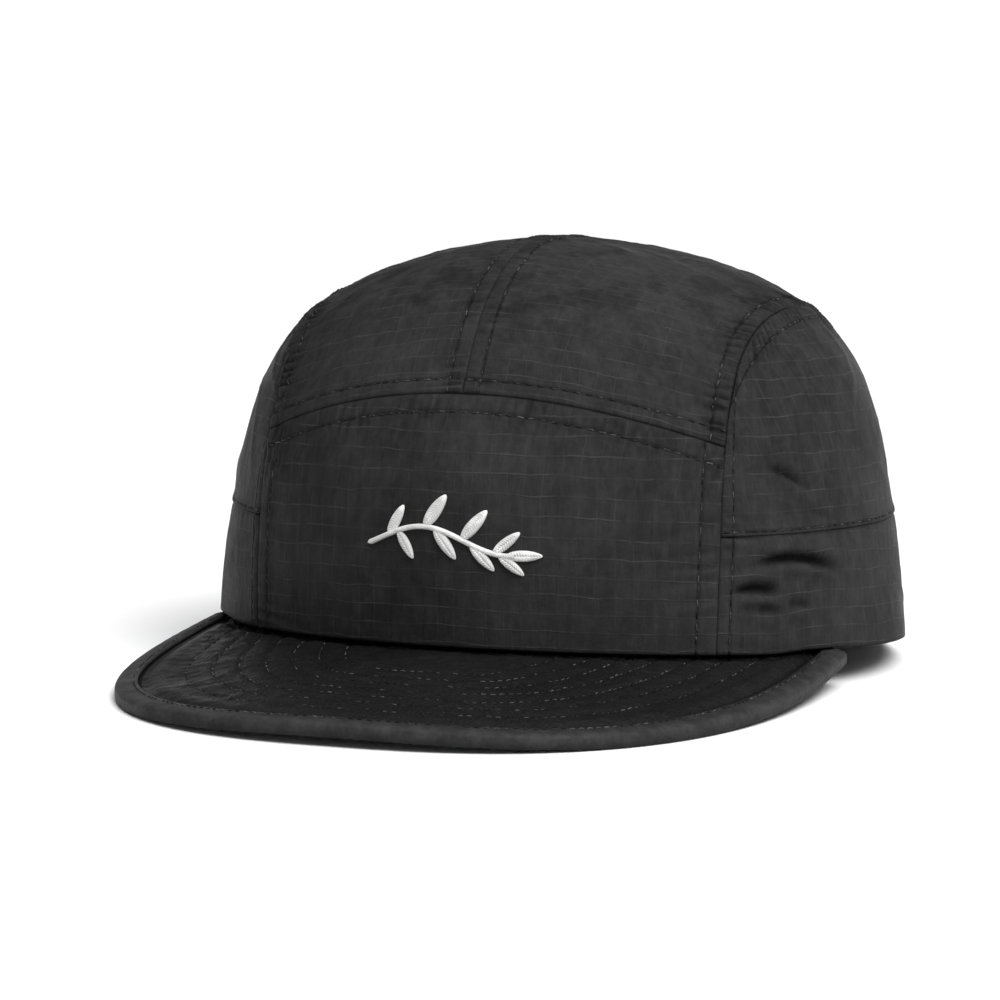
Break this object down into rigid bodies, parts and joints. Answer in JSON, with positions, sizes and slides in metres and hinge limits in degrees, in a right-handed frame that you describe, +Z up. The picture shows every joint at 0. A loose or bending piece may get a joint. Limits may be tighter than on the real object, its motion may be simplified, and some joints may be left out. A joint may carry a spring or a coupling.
{
  "type": "five panel cap",
  "caption": "Soft camp-style cap with a tall front, rounded top and sides of ripstop cloth, a flat stitched peak with a bound edge, an inner sweatband and a strap at the back.",
  "frame": {"origin": "on the floor under the middle of the cap's length and width", "axes": "+Z up from the floor the cap stands on, -Y out along the peak, +X to the wearer's left"},
  "size_m": [0.1794, 0.2692, 0.1074],
  "materials": {
    "nylon_ripstop": "slightly glossy dark ripstop nylon",
    "peak_cloth": "dark ripstop nylon over a stiffener, stitched in rows",
    "binding_tape": "smooth woven tape",
    "band_cotton": "matt twill",
    "webbing": "woven webbing",
    "buckle_plastic": "satin black plastic",
    "white_thread": "glossy embroidery thread"
  },
  "bodies": {
    "root": {"front_panel": "nylon_ripstop", "top_panel_left": "nylon_ripstop", "top_panel_right": "nylon_ripstop", "side_panel_left_lower": "nylon_ripstop", "side_panel_left_upper": "nylon_ripstop", "side_panel_right_lower": "nylon_ripstop", "side_panel_right_upper": "nylon_ripstop", "peak": "peak_cloth", "peak_binding": "binding_tape", "sweatband": "band_cotton", "back_strap": "webbing", "strap_buckle": "buckle_plastic", "embroidered_motif": "white_thread"}
  },
  "joints": []
}
